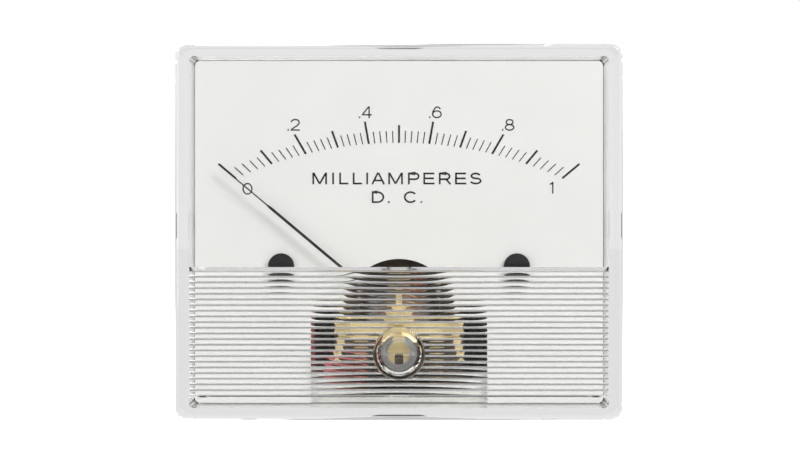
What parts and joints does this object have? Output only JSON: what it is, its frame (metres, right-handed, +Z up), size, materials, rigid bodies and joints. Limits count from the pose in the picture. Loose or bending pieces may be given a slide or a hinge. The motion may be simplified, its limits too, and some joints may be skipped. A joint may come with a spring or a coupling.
{
  "type": "analog panel meter",
  "caption": "Rectangular moving-coil panel meter: clear cover with a fluted lower half, curved scale, swinging pointer, zero adjuster, round rear barrel, mounting studs and screw terminals.",
  "frame": {"origin": "on the barrel's axis in the plane where the meter's rear face touches the panel, at the centre of the four mounting studs", "axes": "+X to the right as the dial is read, +Y through the panel along the barrel, away from the reader, +Z up"},
  "size_m": [0.089, 0.0588, 0.0748],
  "materials": {
    "clear_cover": "polished",
    "clear_knob": "gloss",
    "black_phenolic": "satin",
    "plated_steel": "satin",
    "terminal_brass": "satin",
    "tinned_copper": "satin",
    "spring_steel": "satin",
    "dial_enamel": "matte",
    "black_ink": "matte",
    "black_screw": "satin",
    "soft_iron": "satin",
    "magnet_alloy": "satin",
    "movement_brass": "polished",
    "spring_bronze": "polished",
    "former_aluminium": "satin",
    "enamelled_wire": "gloss",
    "pivot_steel": "polished",
    "pointer_black": "matte",
    "stop_sleeve": "matte",
    "red_insulation": "satin",
    "black_insulation": "satin"
  },
  "bodies": {
    "meter": {"front_cover": "clear_cover", "base": "black_phenolic", "shield_plate": "plated_steel", "plate_screws": "plated_steel", "mounting_studs": "plated_steel", "terminal_studs": "terminal_brass", "solder_lugs": "tinned_copper", "terminal_washers": "terminal_brass", "terminal_lockwashers": "spring_steel", "terminal_nuts": "terminal_brass", "dial": "dial_enamel", "scale_marks": "black_ink", "dial_spacers": "plated_steel", "dial_screws": "black_screw", "yoke": "soft_iron", "core_magnet": "magnet_alloy", "core_keys": "movement_brass", "movement_screws": "movement_brass", "front_posts": "movement_brass", "front_bridge": "movement_brass", "bridge_tags": "movement_brass", "front_bridge_screws": "movement_brass", "front_jewel_screw": "movement_brass", "front_locknut": "movement_brass", "rear_posts": "movement_brass", "rear_bridge": "movement_brass", "rear_bridge_screws": "movement_brass", "rear_jewel_screw": "movement_brass", "rear_locknut": "movement_brass", "rear_abutment": "movement_brass", "rear_hairspring": "spring_bronze", "pointer_stops": "spring_steel", "stop_sleeves": "stop_sleeve", "positive_lead": "red_insulation", "negative_lead": "black_insulation"},
    "pointer_assembly": {"coil_former": "former_aluminium", "coil_winding": "enamelled_wire", "pivot_staffs": "pivot_steel", "spring_collets": "movement_brass", "pointer": "pointer_black", "balance_arms": "movement_brass", "balance_weights": "tinned_copper"},
    "adjuster": {"zero_adjuster": "clear_knob", "adjuster_clip": "spring_steel"},
    "lever": {"zero_lever": "movement_brass", "front_hairspring": "spring_bronze"}
  },
  "joints": [
    {"name": "pointer_swing", "type": "hinge", "parent": "meter", "child": "pointer_assembly", "pos_m": [0, 0, -0.017], "axis": [0, 1, 0], "range_deg": [-2, 102], "stiffness_Nm_per_rad": 0.00003},
    {"name": "zero_adjust", "type": "hinge", "parent": "meter", "child": "adjuster", "pos_m": [0, 0, -0.0242], "axis": [0, 1, 0], "range_deg": [-45, 45]},
    {"name": "zero_lever_swing", "type": "hinge", "parent": "meter", "child": "lever", "pos_m": [0, 0, -0.017], "axis": [0, 1, 0], "range_deg": [-8, 8]}
  ],
  "couplings": [
    {"joint": "zero_lever_swing", "follows": "zero_adjust", "ratio": 0.17241}
  ]
}
